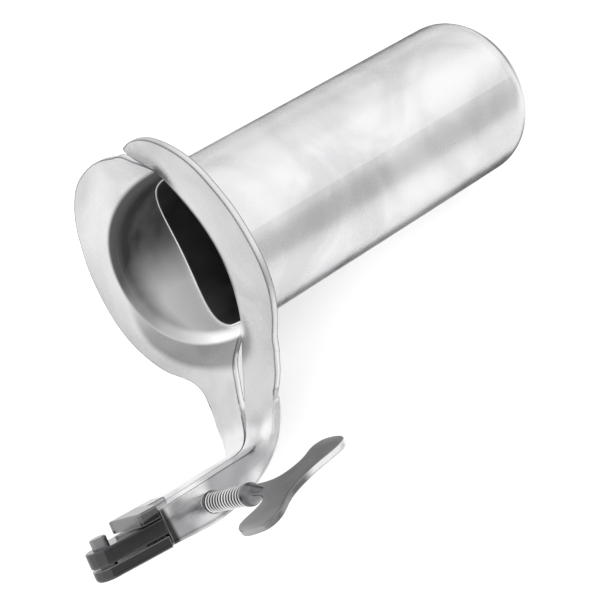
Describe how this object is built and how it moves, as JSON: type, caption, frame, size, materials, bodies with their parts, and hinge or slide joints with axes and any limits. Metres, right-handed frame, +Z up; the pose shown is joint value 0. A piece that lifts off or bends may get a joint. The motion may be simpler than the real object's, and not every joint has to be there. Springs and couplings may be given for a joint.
{
  "type": "bivalve speculum",
  "caption": "Closed bivalve speculum: two flared half-tube valves on bent arms with a take-apart hinge and a wing screw that spreads them.",
  "frame": {"origin": "centre of the bounding box's bottom face", "axes": "+Z up from the table the closed speculum lies on, on its left side; +Y along the blade towards its closed tip; +X to the right of that"},
  "size_m": [0.0962, 0.1648, 0.0626],
  "materials": {
    "valves": "satin polished stainless steel",
    "arms": "satin polished stainless steel",
    "hinge_pin": "satin polished stainless steel",
    "screw": "satin polished stainless steel",
    "wing": "satin polished stainless steel"
  },
  "bodies": {
    "left_half": {"left_valve": "valves", "left_arm": "arms", "pivot_pin": "hinge_pin"},
    "right_half": {"right_valve": "valves", "right_arm": "arms"},
    "screw_nose": {"screw_nose": "screw"},
    "wing_screw": {"threaded_spindle": "screw", "wing_boss": "screw", "wing_plate": "wing"}
  },
  "joints": [
    {"name": "handle_pivot", "type": "hinge", "parent": "left_half", "child": "right_half", "pos_m": [0.01901, -0.07786, 0.01353], "axis": [0.833, -0.1487, -0.5329], "range_deg": [0, 20.9]},
    {"name": "screw_advance", "type": "slide", "parent": "right_half", "child": "screw_nose", "axis": [-0.5484, -0.0951, -0.8308], "range_m": [0, 0.0096]},
    {"name": "wing_turn", "type": "hinge", "parent": "screw_nose", "child": "wing_screw", "pos_m": [0.02834, -0.05136, 0.01637], "axis": [-0.5484, -0.0951, -0.8308], "range_deg": [0, 3240]}
  ],
  "couplings": [
    {"joint": "screw_advance", "follows": "wing_turn", "m_per_rad": 0.0001687},
    {"joint": "handle_pivot", "follows": "wing_turn", "ratio": 0.0064141}
  ]
}
